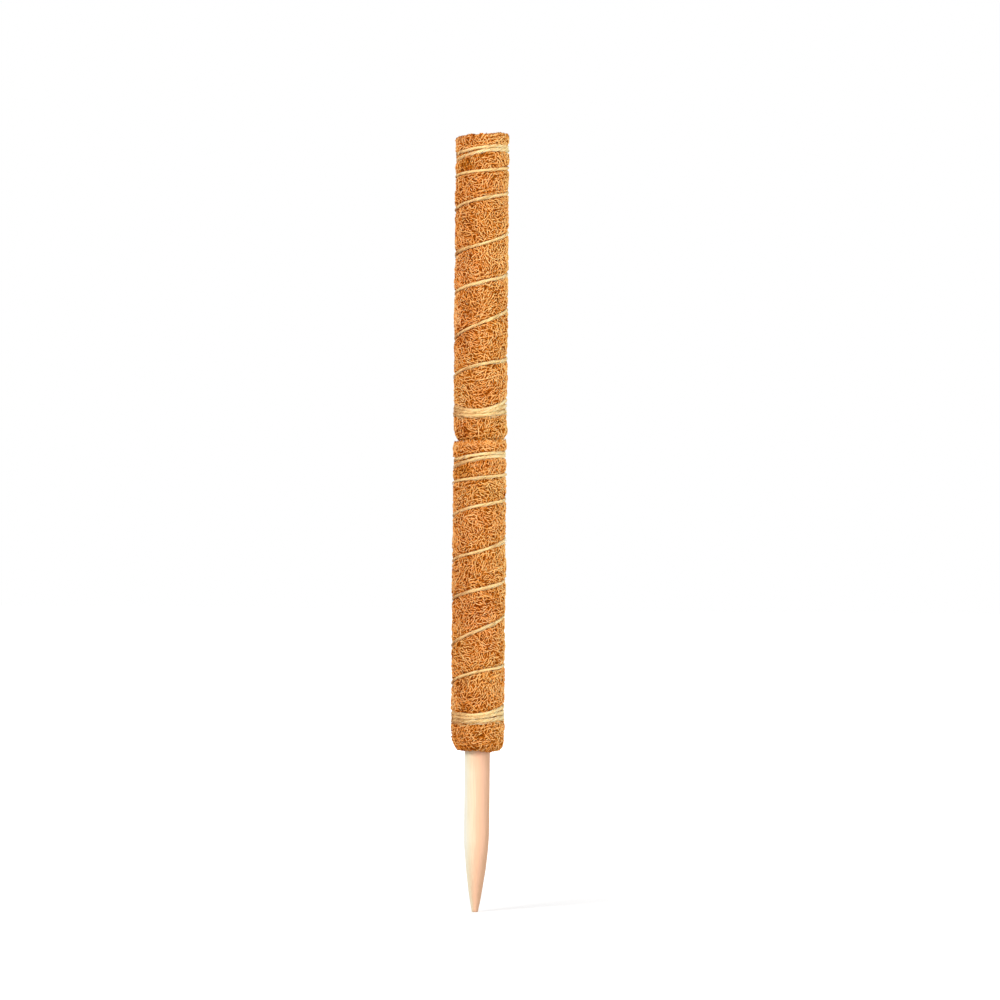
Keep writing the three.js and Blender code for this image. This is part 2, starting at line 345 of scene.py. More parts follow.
def mat_profile():
    """The felted body's outside from the bore's top over the side to the lip, at even spacing."""
    top = MAT_TOP - END_DEPTH
    bottom = MAT_BOTTOM + END_DEPTH
    side = MAT_RADIUS - FIBRE_DEPTH
    bore = TUBE_RADIUS + FIT_GAP
    lip_radius = STAKE_RADIUS + FIT_GAP
    inner_steps, top_steps, bottom_steps = CORNER_STEPS
    outline = np.concatenate([
        [(bore, top - BORE_DEPTH)],
        corner(bore + INNER_ROUND, top - INNER_ROUND, INNER_ROUND, INNER_ROUND, 180, 90, inner_steps),
        corner(side - TOP_ROUND[0], top - TOP_ROUND[1], *TOP_ROUND, 90, 0, top_steps),
        corner(side - BOTTOM_ROUND[0], bottom + BOTTOM_ROUND[1], *BOTTOM_ROUND, 0, -90, bottom_steps),
        [(lip_radius, bottom), (lip_radius, bottom + MAT_LIP - 2 * END_DEPTH)],
    ])
    lengths = np.concatenate([[0], np.cumsum(np.linalg.norm(np.diff(outline, axis=0), axis=1))])
    even = np.linspace(0, lengths[-1], int(lengths[-1] / PROFILE_STEP))
    profile = np.stack([np.interp(even, lengths, outline[:, k]) for k in (0, 1)], -1)
    return even, profile


PLACES, PROFILE = mat_profile()
REACH = PLACES[-1]
TANGENTS = np.gradient(PROFILE, PLACES, axis=0)
TANGENTS /= np.linalg.norm(TANGENTS, axis=1, keepdims=True)


def on_profile(values, way):
    """The two values of a profile at ways along it from the bore's top edge."""
    return tuple(np.interp(way, PLACES, values[:, k]) for k in (0, 1))


# Random fields over a mat, with their cells round it and along its profile
FIELD_CELLS = {
    "lumps": (7, 17),
    "swells": (15, 45),
    "grain": (110, 200),
    "swirl": (9, 21),
    "shades": (6, 13),
    "hues": (5, 11),
    "tufts": (34, 110),
}
LUMP_DEPTH = 0.08
SWELL_DEPTH = 0.09
GRAIN_DEPTH = 0.06
TUFT_DEPTH = 0.22
TUFT_REACH = 2.8  # from the mat's ends

TRENCH_DEPTH = MAT_RADIUS - FIBRE_DEPTH - (TWINE_PATH_RADIUS - YARN_RADIUS)
TRENCH_FLOOR = 0.42
TRENCH_WALL = 0.6
DIP_DEPTH = 0.06  # of the wider hollow that the twine draws
DIP_REACH = 2.2
SEAM_ANGLE = math.pi / 2
SEAM_DEPTH = 0.9
SEAM_WIDTH = 0.45
SEAM_PRESS = 0.5  # how much lower the fibres lie at the seam

CUT_REACH = 14.0  # below the top, over which its slope fades
WORN_REACH = 9.0  # above the bottom, over which its wear fades
BULGE_REACH = 5.0  # from the stake
CORNER_WEAR = 0.5  # how much rounder the bottom corner is on the left side
CORNER_HEIGHT = 1.0
CORNER_REACH = 2.8

JOINT_ZONE = 4.0  # height of the end that meets the other section
JOINT_PRESS = 0.6  # how much flatter its face is
JOINT_FILL = 0.2  # how far its face is moved towards the joint
FIBRE_ROOM = 0.36  # for the thickness of the fibres at the joint
JOINT_REACH = JOINT_GAP / 2 - FIBRE_ROOM  # how far past the mat's end a fibre's line may run there


class Mat:
    """The surface of one section's mat, with its lumps, its seam and the trench that the twine draws."""

    def __init__(self, section):
        rng = seeded(section, MAT_SOURCE)
        self.section = section
        self.field = {name: smooth_field(rng, *cells) for name, cells in FIELD_CELLS.items()}

    def at_joint(self, height):
        """True near the end that meets the other section."""
        if self.section.joined == "top":
            return height > MAT_TOP - JOINT_ZONE
        return height < MAT_BOTTOM + JOINT_ZONE

    def relief(self, angle, way, lift):
        """How far places stand off the even outline, and how deep in the twine's trench they are, 0 to 1."""
        radius, height = on_profile(PROFILE, way)
        end = on_profile(TANGENTS, way)[0] ** 2
        turn = angle / TURN
        rise = way / REACH
        gap = twine_distance(angle, height, self.section)
        trench = bell(np.maximum(gap - TRENCH_FLOOR, 0), TRENCH_WALL)
        seam = bell(turn_from(SEAM_ANGLE, angle) * radius, SEAM_WIDTH)
        worn = bell(height - MAT_BOTTOM - CORNER_HEIGHT, CORNER_REACH) * leftness(angle) ** 2 * (1 - end)
        from_end = np.minimum(MAT_TOP - height, height - MAT_BOTTOM)

        out = LUMP_DEPTH * self.field["lumps"](turn, rise)
        out = out + SWELL_DEPTH * self.field["swells"](turn, rise)
        out = out + GRAIN_DEPTH * self.field["grain"](turn, rise)
        out = out + TUFT_DEPTH * self.field["tufts"](turn, rise) * bell(from_end, TUFT_REACH)
        out = (out + lift * (1 - SEAM_PRESS * seam)) * (1 - trench)
        out = out * (1 - JOINT_PRESS * end * self.at_joint(height))
        out = out - TRENCH_DEPTH * trench - DIP_DEPTH * bell(gap, DIP_REACH)
        return out - SEAM_DEPTH * seam - CORNER_WEAR * worn, trench

    def at(self, angle, way, lift):
        """Points lifted off the felted body, the directions away from it, and the depth in the trench.

        The way is counted along the profile from the bore's top edge.
        """
        way = np.clip(way, 0, REACH)
        radius, height = on_profile(PROFILE, way)
        run, fall = on_profile(TANGENTS, way)
        out, trench = self.relief(angle, way, lift)
        left = leftness(angle)

        lowered = self.section.trim + self.section.slant * left**1.5
        outer = np.clip((radius - STAKE_RADIUS) / (MAT_RADIUS - STAKE_RADIUS), 0, 1) ** 2
        inner = fade(radius - STAKE_RADIUS, BULGE_REACH)
        raised = self.section.wear * outer * left**2 - self.section.bulge * inner
        level = height + run * out
        level = level - lowered * fade(MAT_TOP - height, CUT_REACH) ** 2
        level = level + raised * fade(height - MAT_BOTTOM, WORN_REACH) ** 2
        fill = JOINT_FILL * run**2 * self.at_joint(height)
        if self.section.joined == "top":
            level = np.minimum(level + fill, MAT_TOP + JOINT_REACH)
        else:
            level = np.maximum(level - fill, MAT_BOTTOM - JOINT_REACH)

        radial = radius - fall * out
        points = np.stack([radial * np.cos(angle), radial * np.sin(angle), level], -1)
        outward = np.stack([-fall * np.cos(angle), -fall * np.sin(angle), run + 0 * angle], -1)
        return points, outward, trench


MAT_SIDES = 150


def mat_body(name, mat, material):
    """The felted body under the loose fibres, closed along the bore."""
    angles = TURN * np.arange(MAT_SIDES) / MAT_SIDES
    angle, way = np.meshgrid(angles, PLACES)
    points = mat.at(angle, way, 0.0)[0].reshape(-1, 3)
    quads, uvs = ring_faces(len(PLACES), MAT_SIDES, closed_along=True)
    return make_object(name, points, quads[:, ::-1], uvs[:, ::-1], material)


# Loose fibres in layers from the felt outwards: each range is the least and the most in a fibre. The
# dive is how far the ends go into the mat, the flick how far one end stands off it, the spread that of
# the fibres' directions, and dark the share of dark brown fibres.
Layer = namedtuple("Layer", "name count points sides length width lift dive flick spread shade dark")
LAYERS = (
    Layer("coir_under", count=5600, points=6, sides=3, length=(3, 8), width=(0.34, 0.50),
          lift=(0.00, 0.18), dive=0.10, flick=0.0, spread=1.2, shade=(0.06, 0.46), dark=0.0),
    Layer("coir_fibres", count=8600, points=4, sides=3, length=(1.8, 4.6), width=(0.50, 0.68),
          lift=(0.05, 0.42), dive=0.40, flick=0.0, spread=0.6, shade=(0.75, 1.15), dark=0.04),
    Layer("coir_strays", count=90, points=10, sides=4, length=(6, 14), width=(0.30, 0.42),
          lift=(0.42, 0.56), dive=0.30, flick=0.0, spread=0.7, shade=(0.75, 1.05), dark=0.0),
)
# The fringe's darker shades are partly dark fibres and partly painted shade at the mat's free end.
FRINGE = Layer("coir_fringe", count=420, points=6, sides=3, length=(2.0, 4.5), width=(0.26, 0.40),
               lift=(0.05, 0.35), dive=0.20, flick=1.0, spread=1.4, shade=(0.10, 0.70), dark=0.15)
# The fringe's way along the profile, at the free end, by the end that is joined
FRINGE_ENDS = {"top": (REACH - 11.0, REACH - 3.0), "bottom": (1.5, 6.0)}

EVEN_STEPS = (0.7548776662, 0.5698402910)  # shares that spread places evenly over the mat, without rows
FIBRE_LENGTHS = (1.4, 2.2)  # shape of the spread of lengths, with more short fibres than long ones
FIBRE_CURL = 0.07
FIBRE_WAVE = 0.35
FIBRE_SWIRL = 1.2
FIBRE_SLOPE = -0.3  # mean direction, in radians down the mat
FIBRE_ARCH = (-0.05, 0.15)
FIBRE_TIP = 0.25  # thickness of the ends, as a share

FIBRE_PAINTED_FLANK_SHADE = 0.9  # painted shade: how much darker a fibre's flanks are than its ridge
DARK_SHADE = (0.0, 0.35)
SHADE_SPREAD = 0.05  # of tint over the mat
SIDE_PAINTED_LIGHT = 0.05  # painted light: how much lighter the right side is
TRENCH_PAINTED_SHADE = 0.2  # painted shade: how much darker fibres under the twine are
RIM_REACH = 11.0  # way from the lip over which the mat's bottom gets darker, as painted shade
RIM_PAINTED_SHADE = 0.40
RIM_SIDE = 0.15  # how much less dark that painted shade is on the right
MEAN_HUE = 0.5
SIDE_HUE = 0.32  # how much yellower, and so lighter, the right side is: partly the coir's own tone, partly painted light
HUE_SPREAD = 0.18  # over the mat
HUE_NOISE = 0.12  # from fibre to fibre
# how much redder the bottom rim's painted shade is
RIM_HUE = 0.2

# Spots on a mat: angle, height above the mat's lower end, reach along and up, how dark they are and how
# red, with a depth below 0 on a pale one. The third is painted shade between the top band's two turns;
# the others are stains.
StainAndShade = namedtuple("StainAndShade", "angle height across up depth redness")
STAINS_AND_PAINTED_SHADE = (
    StainAndShade(4.02, 106.6, 4.2, 2.4, 0.37, -0.45),
    StainAndShade(5.50, 116.5, 8.0, 3.6, -0.10, -0.12),
    StainAndShade(4.30, 111.3, 5.4, 0.9, 0.85, -0.45),
    StainAndShade(3.95, 4.4, 4.4, 3.8, 0.14, 0.18),
    StainAndShade(4.75, 19.0, 4.0, 2.2, 0.10, 0.10),
    StainAndShade(1.30, 70.0, 5.0, 4.0, 0.12, 0.12),
    StainAndShade(0.40, 36.0, 4.0, 3.0, 0.10, 0.10),
    StainAndShade(2.60, 88.0, 4.5, 3.0, 0.12, 0.12),
)


def stained_and_shaded(section, angle, height):
    """How far places on a section's mat are darkened and reddened by its stains and its painted shade."""
    dark = np.zeros(np.broadcast(angle, height).shape)
    red = np.zeros_like(dark)
    for stain_and_shade in STAINS_AND_PAINTED_SHADE:
        across = turn_from(stain_and_shade.angle, angle) * MAT_RADIUS / stain_and_shade.across
        up = (height - MAT_BOTTOM - section.wind - stain_and_shade.height) / stain_and_shade.up
        near = np.exp(-(across**2) - up**2)
        dark = dark + stain_and_shade.depth * near
        red = red + stain_and_shade.redness * near
    return dark, red


def fibres(name, mat, rng, layer, material, span=(0.0, REACH)):
    """One layer of loose fibres lying on a span of the mat's way, curling, with ends that dive into it."""
    count = layer.count
    t = np.linspace(-0.5, 0.5, layer.points)
    length = layer.length[0] + (layer.length[1] - layer.length[0]) * rng.beta(*FIBRE_LENGTHS, count)
    start_angle = TURN * ((rng.random() + np.arange(count) * EVEN_STEPS[0]) % 1)
    start_way = span[0] + (span[1] - span[0]) * ((rng.random() + np.arange(count) * EVEN_STEPS[1]) % 1)
    turn = start_angle / TURN
    rise = start_way / REACH

    curl = rng.normal(0, FIBRE_CURL, count) * length
    wave = rng.normal(0, FIBRE_WAVE, count)
    phase = rng.uniform(0, TURN, count)
    lean = FIBRE_SWIRL * mat.field["swirl"](turn, rise) + rng.normal(FIBRE_SLOPE, layer.spread, count)
    heading = lean[:, None] + curl[:, None] * t + wave[:, None] * np.sin(TURN * t + phase[:, None])
    step = (length / (layer.points - 1))[:, None]
    across, down = (np.cumsum(step * part(heading), axis=1) for part in (np.cos, np.sin))
    angle = start_angle[:, None] + (across - across.mean(axis=1, keepdims=True)) / MAT_RADIUS
    way = np.abs(start_way[:, None] + down - down.mean(axis=1, keepdims=True))
    way = REACH - np.abs(REACH - way)

    level = rng.uniform(*layer.lift, count)[:, None]
    arch = rng.uniform(*FIBRE_ARCH, count)[:, None] * (1 - 4 * t**2)
    flick = layer.flick * rng.random(count)[:, None] * np.clip(2 * t, 0, 1) ** 2
    lift = level + arch + flick - layer.dive * np.abs(2 * t) ** 3
    lines, outward, trench = mat.at(angle, way, lift)
    taper = FIBRE_TIP + (1 - FIBRE_TIP) * np.sqrt(1 - np.abs(2 * t) ** 6)
    radii = 0.5 * rng.uniform(*layer.width, count)[:, None] * taper
    points, faces, one = tubes(lines, radii, outward, layer.sides)

    stain_and_shade, red = stained_and_shaded(mat.section, start_angle, on_profile(PROFILE, start_way)[1])
    painted_rim_shade = fade(REACH - start_way, RIM_REACH) ** 2
    right = np.cos(start_angle)
    dark = rng.random(count) < layer.dark
    tint = np.where(dark, rng.uniform(*DARK_SHADE, count), rng.uniform(*layer.shade, count))
    # painted light: the tint is lighter on the right side
    tint = tint + SHADE_SPREAD * mat.field["shades"](turn, rise) + SIDE_PAINTED_LIGHT * right
    # painted shade: darker in the twine's trench, between the top band's turns and at the bottom rim
    tint = tint - stain_and_shade - TRENCH_PAINTED_SHADE * trench.mean(axis=1) - (RIM_PAINTED_SHADE - RIM_SIDE * right) * painted_rim_shade
    hue = MEAN_HUE + SIDE_HUE * right + HUE_SPREAD * mat.field["hues"](turn, rise)
    hue = hue + rng.normal(0, HUE_NOISE, count) - red - RIM_HUE * painted_rim_shade
    uvs = strip_map(one, layer.sides, layer.points, np.clip(tint, 0, 1), np.clip(hue, 0, 1), FIBRE_PAINTED_FLANK_SHADE)
    return make_object(name, points, faces, uvs, material)


LIP_FIBRES = 420
LIP_POINTS = 5
LIP_SIDES = 3
LIP_WIDTH = (0.40, 0.60)
LIP_TAPER = 0.5
LIP_ROOT = 1.6  # how far below the mat's top they start
LIP_RISE = (-0.2, 1.2)  # how far above it they end
LIP_RADII = (MAT_RADIUS - 0.55, MAT_RADIUS - 0.40)  # at the root and the tip, clear of the mat above
LIP_LEAN = 0.2
LIP_BOW = 0.02
LIP_SHADE = (0.25, 1.10)
LIP_HUE_NOISE = 0.15
LIP_LEFT = 0.45  # the lip gets lower from here to the left
LIP_FALL = 2.4


def lip(name, rng, material):
    """Upright fibres round a mat's top edge, that hide the joint in front of the rounded mat above."""
    t = np.linspace(0, 1, LIP_POINTS)
    start = TURN * ((rng.random() + np.arange(LIP_FIBRES) * EVEN_STEPS[0]) % 1)
    right = np.cos(start)
    rise = rng.uniform(*LIP_RISE, LIP_FIBRES) - LIP_FALL * np.clip(-right - LIP_LEFT, 0, 1)
    angle = start[:, None] + rng.normal(0, LIP_LEAN, LIP_FIBRES)[:, None] * t
    angle = angle + rng.normal(0, LIP_BOW, LIP_FIBRES)[:, None] * np.sin(math.pi * t)
    radius = LIP_RADII[0] + (LIP_RADII[1] - LIP_RADII[0]) * t
    outward = np.stack([np.cos(angle), np.sin(angle), 0 * angle], -1)
    lines = outward * radius[:, None]
    lines[..., 2] = MAT_TOP - LIP_ROOT + (LIP_ROOT + rise)[:, None] * t
    radii = 0.5 * rng.uniform(*LIP_WIDTH, LIP_FIBRES)[:, None] * (1 - LIP_TAPER * t**4)
    points, faces, one = tubes(lines, radii, outward, LIP_SIDES)
    # painted light: lighter on the right side, as on the mat
    tint = rng.uniform(*LIP_SHADE, LIP_FIBRES) + SIDE_PAINTED_LIGHT * right
    hue = MEAN_HUE + SIDE_HUE * right + rng.normal(0, LIP_HUE_NOISE, LIP_FIBRES)
    uvs = strip_map(one, LIP_SIDES, LIP_POINTS, np.clip(tint, 0, 1), np.clip(hue, 0, 1), FIBRE_PAINTED_FLANK_SHADE)
    return make_object(name, points, faces, uvs, material)


# Twine

YARN_CORE = 0.48
YARN_PITCH = 8.0  # length of one twist
TWINE_STEP = 0.5
TUCK_LENGTH = 7.0  # of the ends that go into the mat
TUCK_DEPTH = 1.5
CORE_SIDES = 8
CORE_SHADE = np.array([0.5])  # tint and hue
KNOT_STEP = 5  # from place to place where the yarn's thickness changes
KNOTS = np.arange(0, YARN_RUN + KNOT_STEP, KNOT_STEP)
CORE_SWELL = 0.10
FILAMENT_SWELL = 0.09

FILAMENTS = 900
FILAMENT_SHARES = (0.0, 0.38, 0.75, 1.0)  # up to the bottom band's end, the top band's start and the end
FILAMENT_POINTS = 24
FILAMENT_SIDES = 3
FILAMENT_LENGTH = (12, 36)
FILAMENT_WIDTH = (0.17, 0.27)
FILAMENT_TIP = 0.3  # thickness of the ends, as a share
FILAMENT_SINK = 0.12  # of a filament's middle below the yarn's outside
FILAMENT_LAYER = (0.82, 1.08)  # how far out a filament lies, as a share of that
FILAMENT_DIVE = 0.15
FILAMENT_WANDER = 0.5  # in the twist
END_ROOM = 0.2  # of length for the filaments that are cut at the yarn's ends

FRAYED_SHARE = 0.38
FRAYED_BY = (0.3, 1)
FRAY = 0.45
SPREAD = (1.05, 0.98)  # how broad the yarn lies in the bands, where it is slack, and between them
SIDE_SPREAD = (0.75, 0.35)  # how much broader it lies in the bands at the left and at the right
BAND_PRESS = (0.05, 0.3)  # how much deeper it lies in the bottom band and the top band
DROOP = 2.0  # how far frayed ends hang over the coir under the bottom band
DROOP_LIFT = 1.15
DROOP_PULL = 0.25  # how far they are drawn to the yarn's middle
OPEN_DROOP = 0.35  # the share of all this under the other turns

# painted shade: how much darker a filament's flanks are than its ridge
FILAMENT_PAINTED_FLANK_SHADE = 0.25
FILAMENT_TINTS = (2.2, 1.8)  # shape of the spread of tints
YARN_TINT = 0.06
BAND_TINT = 0.13
BOTTOM_TINT = 0.08  # how much darker the bottom band is
YARN_SIDE_PAINTED_LIGHT = 0.16  # painted light and shade: how much lighter the right side is
FAR_LEFT = 0.3
FAR_LEFT_PAINTED_SHADE = (0.14, 0.12)  # painted shade: how much darker the far left is, and how much more so in the bands
YARN_SIDE_HUE = (0.6, 0.3)  # how much pinker the left and how much yellower the right is: partly the jute's tone, partly painted shade


def in_bands(run_at):
    """1 in the two bands, at lengths from the yarn's start, and 0 between them."""
    return np.interp(run_at, BAND_RUNS.ravel(), (1, 0, 0, 1))


def yarn_spread(run_at):
    """How broad the yarn lies at lengths from its start."""
    right = np.cos(ROUTE_START + run_at / TWINE_PATH_RADIUS)
    side = np.where(right < 0, *SIDE_SPREAD) * right**4
    return SPREAD[1] + (SPREAD[0] - SPREAD[1] + side) * in_bands(run_at)


def yarn_line(run_at, section):
    """Points of a section's twine line at lengths from its start, with outward and upward directions."""
    angle = np.clip(ROUTE_START + run_at / TWINE_PATH_RADIUS, ROUTE_START, ROUTE_END)
    from_end = np.minimum(angle - ROUTE_START, ROUTE_END - angle) * TWINE_PATH_RADIUS
    pressed = np.interp(run_at, BAND_RUNS.ravel(), (BAND_PRESS[0], 0, 0, BAND_PRESS[1]))
    radius = TWINE_PATH_RADIUS - pressed - TUCK_DEPTH * fade(from_end, TUCK_LENGTH) ** 2
    outward = np.stack([np.cos(angle), np.sin(angle), 0 * angle], -1)
    line = outward * radius[..., None]
    line[..., 2] = twine_height(angle, section)
    upward = np.zeros_like(outward)
    upward[..., 2] = 1.0
    return line, outward, upward


def uneven(run_at, spread, rng):
    """A random share round 1 that changes along the yarn."""
    return np.interp(run_at, KNOTS, rng.normal(1, spread, len(KNOTS)))


def yarn_core(section, rng):
    """The soft core of a section's twine: points, faces and UV pairs."""
    run = np.linspace(0, YARN_RUN, int(YARN_RUN / TWINE_STEP))
    line, outward, _ = yarn_line(run, section)
    radii = YARN_CORE * uneven(run, CORE_SWELL, rng)
    points, faces, one = tubes(line[None], radii[None], outward[None], CORE_SIDES)
    return points, faces, strip_map(one, CORE_SIDES, len(run), CORE_SHADE, CORE_SHADE, FILAMENT_PAINTED_FLANK_SHADE)


def yarn_filaments(section, rng):
    """The filaments spun round the core, some of them frayed: points, faces and UV pairs."""
    t = np.linspace(-0.5, 0.5, FILAMENT_POINTS)
    length = rng.uniform(*FILAMENT_LENGTH, FILAMENTS)[:, None]
    stretches = (0, BAND_RUNS[0, 1], BAND_RUNS[1, 0], YARN_RUN)
    middle = np.interp(rng.random(FILAMENTS), FILAMENT_SHARES, stretches)[:, None]
    run = np.clip(middle + length * t, END_ROOM * (t + 0.5), YARN_RUN - END_ROOM * (0.5 - t))
    twist = TURN * run / YARN_PITCH + rng.uniform(0, TURN, FILAMENTS)[:, None]
    twist = twist + rng.normal(0, FILAMENT_WANDER, FILAMENTS)[:, None] * np.sin(TURN * t)
    half = 0.5 * rng.uniform(*FILAMENT_WIDTH, FILAMENTS)[:, None]
    offset = uneven(run, FILAMENT_SWELL, rng) * (YARN_RADIUS - FILAMENT_SINK)
    offset = offset * rng.uniform(*FILAMENT_LAYER, FILAMENTS)[:, None] - FILAMENT_DIVE * np.abs(2 * t) ** 4

    frayed = (rng.random(FILAMENTS) < FRAYED_SHARE)[:, None]
    loose = frayed * rng.uniform(*FRAYED_BY, FILAMENTS)[:, None] * np.clip(2 * t, 0, 1) ** 2
    bottom = np.interp(run, BAND_RUNS[0], (1, 0))
    hang = loose * (OPEN_DROOP + (1 - OPEN_DROOP) * bottom)
    offset = offset + FRAY * loose * (1 - bottom) - DROOP_PULL * hang
    line, outward, upward = yarn_line(run, section)
    line = line + DROOP_LIFT * hang[..., None] * outward - DROOP * hang[..., None] * upward
    rise = np.sin(twist) * yarn_spread(run)
    lines = line + offset[..., None] * (outward * np.cos(twist)[..., None] + upward * rise[..., None])
    radii = half * (FILAMENT_TIP + (1 - FILAMENT_TIP) * np.sqrt(1 - np.abs(2 * t) ** 8))
    points, faces, one = tubes(lines, radii, outward, FILAMENT_SIDES)

    right = np.cos(ROUTE_START + run / TWINE_PATH_RADIUS)
    banded = in_bands(run)
    # painted light and shade: the tint is lighter on the right and darker at the far left
    painted_far_left_shade = np.clip((-right - FAR_LEFT) / (1 - FAR_LEFT), 0, 1)
    tint = rng.beta(*FILAMENT_TINTS, FILAMENTS)[:, None] + YARN_TINT + YARN_SIDE_PAINTED_LIGHT * right
    tint = tint + BAND_TINT * banded - BOTTOM_TINT * bottom
    tint = np.clip(tint - (FAR_LEFT_PAINTED_SHADE[0] + FAR_LEFT_PAINTED_SHADE[1] * banded) * painted_far_left_shade, 0, 1)
    hue = rng.uniform(0, 1, FILAMENTS)[:, None] + np.where(right < 0, *YARN_SIDE_HUE) * right
    uvs = strip_map(one, FILAMENT_SIDES, FILAMENT_POINTS, tint, np.clip(hue, 0, 1), FILAMENT_PAINTED_FLANK_SHADE)
    return points, faces, uvs


def yarn(name, section, rng, material):
    """One section's twine: a soft core with long filaments spun round it."""
    core_points, core_faces, core_uvs = yarn_core(section, rng)
    points, faces, uvs = yarn_filaments(section, rng)
    points = np.concatenate([core_points, points])
    faces = np.concatenate([core_faces, faces + len(core_points)])
    return make_object(name, points, faces, np.concatenate([core_uvs, uvs]), material)


# Materials

def new_material(name, roughness, gloss=0.25):
    """A material, a function that adds a linked node to it and one that links to its shader."""
    material = bpy.data.materials.new(name)
    material.use_nodes = True
    tree = material.node_tree
    shader = tree.nodes["Principled BSDF"]
    shader.inputs["Roughness"].default_value = roughness
    shader.inputs["Specular IOR Level"].default_value = gloss

    def add(kind, links, settings=None, **inputs):
        node = tree.nodes.new(kind)
        for key, value in (settings or {}).items():
            setattr(node, key, value)
        for key, value in inputs.items():
            node.inputs[key.replace("_", " ")].default_value = value
        for socket, source in links.items():
            tree.links.new(source, node.inputs[socket])
        return node

    def link(source, socket):
        tree.links.new(source, shader.inputs[socket])

    return material, add, link


def srgb(red, green, blue):
    """A colour written 0 to 255 as it shows, in the shader's own scale."""
    shown = np.array([red, green, blue]) / 255
    linear = np.where(shown <= 0.04045, shown / 12.92, ((shown + 0.055) / 1.055) ** 2.4)
    return (*linear.tolist(), 1.0)


def ramp(add, source, stops):
    """A colour ramp over (place, colour) stops."""
    node = add("ShaderNodeValToRGB", {"Fac": source})
    elements = node.color_ramp.elements
    while len(elements) < len(stops):
        elements.new(0.5)
    for element, (position, colour) in zip(elements, stops):
        element.position = position
        element.color = colour
    return node.outputs["Color"]


def mixed(add, share, first, second):
    """A mix of two colours, in a node whose sockets share names with its other kinds."""
    node = add("ShaderNodeMix", {"Factor": share}, {"data_type": "RGBA"})
    colours = [socket for socket in node.inputs if socket.type == "RGBA"]
    for source, socket in zip((first, second), colours):
        node.id_data.links.new(source, socket)
    return next(socket for socket in node.outputs if socket.type == "RGBA")


def remap(add, source, start=(0.0, 1.0), end=(0.0, 1.0)):
    """A value moved from one range to another."""
    node = add("ShaderNodeMapRange", {"Value": source},
               From_Min=start[0], From_Max=start[1], To_Min=end[0], To_Max=end[1])
    return node.outputs["Result"]


def calculated(add, operation, first, second):
    """A sum, product or other result of two values."""
    return add("ShaderNodeMath", {0: first, 1: second}, {"operation": operation}).outputs["Value"]


def noise(add, vector, **inputs):
    """A noise over a vector."""
    return add("ShaderNodeTexNoise", {"Vector": vector}, **inputs).outputs["Fac"]


def stretched(add, vector, scale):
    """A vector scaled by its parts."""
    return add("ShaderNodeMapping", {"Vector": vector}, Scale=scale).outputs["Vector"]


def bumped(add, height, strength, distance):
    """A normal that shows a height."""
    return add("ShaderNodeBump", {"Height": height}, Strength=strength, Distance=distance).outputs["Normal"]


def object_place(add):
    """The place on the object, in metres."""
    return add("ShaderNodeTexCoord", {}).outputs["Object"]


def map_place(add):
    """The place in the piece's own map."""
    return add("ShaderNodeUVMap", {}, {"uv_map": BAKE_MAP}).outputs["UV"]


STREAK_SCALE = (4.0, 34.0, 1.0)
STREAK_RANGE = (0.25, 0.75)  # most of the noise lies in it
HUE_RANGE = (0.05, 0.95)


def strand_colours(add, streak, one_hue, other_hue):
    """Colour and streaks for tubes mapped by strip_map: tint across the map, and hue up it."""
    uv = map_place(add)
    parts = add("ShaderNodeSeparateXYZ", {"Vector": uv})
    streaks = noise(add, stretched(add, uv, STREAK_SCALE), Scale=1.0, Detail=2.0)
    shift = remap(add, streaks, STREAK_RANGE, (-streak, streak))
    tint = calculated(add, "ADD", parts.outputs["X"], shift)
    share = remap(add, parts.outputs["Y"], HUE_RANGE)
    return mixed(add, share, ramp(add, tint, one_hue), ramp(add, tint, other_hue)), streaks


def fibre_material():
    """Coir fibres: each has its own shade, from dark brown to pale gold, and its own warmth."""
    material, add, link = new_material("coir_fibre", 0.75, gloss=0.05)
    redder = [
        (0.0, srgb(136, 50, 0)), (0.3, srgb(211, 108, 4)), (0.6, srgb(247, 156, 72)),
        (0.85, srgb(255, 193, 123)), (1.0, srgb(255, 215, 160)),
    ]
    yellower = [
        (0.0, srgb(138, 70, 6)), (0.3, srgb(210, 124, 22)), (0.6, srgb(248, 169, 78)),
        (0.85, srgb(255, 206, 122)), (1.0, srgb(255, 227, 157)),
    ]
    colour, streaks = strand_colours(add, 0.40, redder, yellower)
    link(colour, "Base Color")
    link(remap(add, streaks, end=(0.65, 0.9)), "Roughness")
    return material


def felt_material():
    """The felted body under the fibres: dark brown with paler threads."""
    material, add, link = new_material("coir_felt", 0.95, gloss=0.02)
    threads = noise(add, object_place(add), Scale=1400.0, Detail=4.0, Distortion=1.5)
    link(ramp(add, threads, [
        (0.3, srgb(96, 42, 4)), (0.55, srgb(142, 74, 14)), (0.75, srgb(182, 102, 32)),
    ]), "Base Color")
    link(bumped(add, threads, strength=0.6, distance=0.0003), "Normal")
    return material


def jute_material():
    """Pale spun jute, from tan to straw."""
    material, add, link = new_material("jute_twine", 0.85, gloss=0.15)
    tan = [
        (0.0, srgb(202, 142, 84)), (0.35, srgb(243, 190, 128)),
        (0.7, srgb(255, 220, 162)), (1.0, srgb(255, 244, 206)),
    ]
    straw = [
        (0.0, srgb(200, 156, 86)), (0.35, srgb(245, 211, 138)),
        (0.7, srgb(255, 235, 170)), (1.0, srgb(255, 248, 210)),
    ]
    colour, streaks = strand_colours(add, 0.12, tan, straw)
    link(colour, "Base Color")
    link(remap(add, streaks, end=(0.75, 0.95)), "Roughness")
    return material


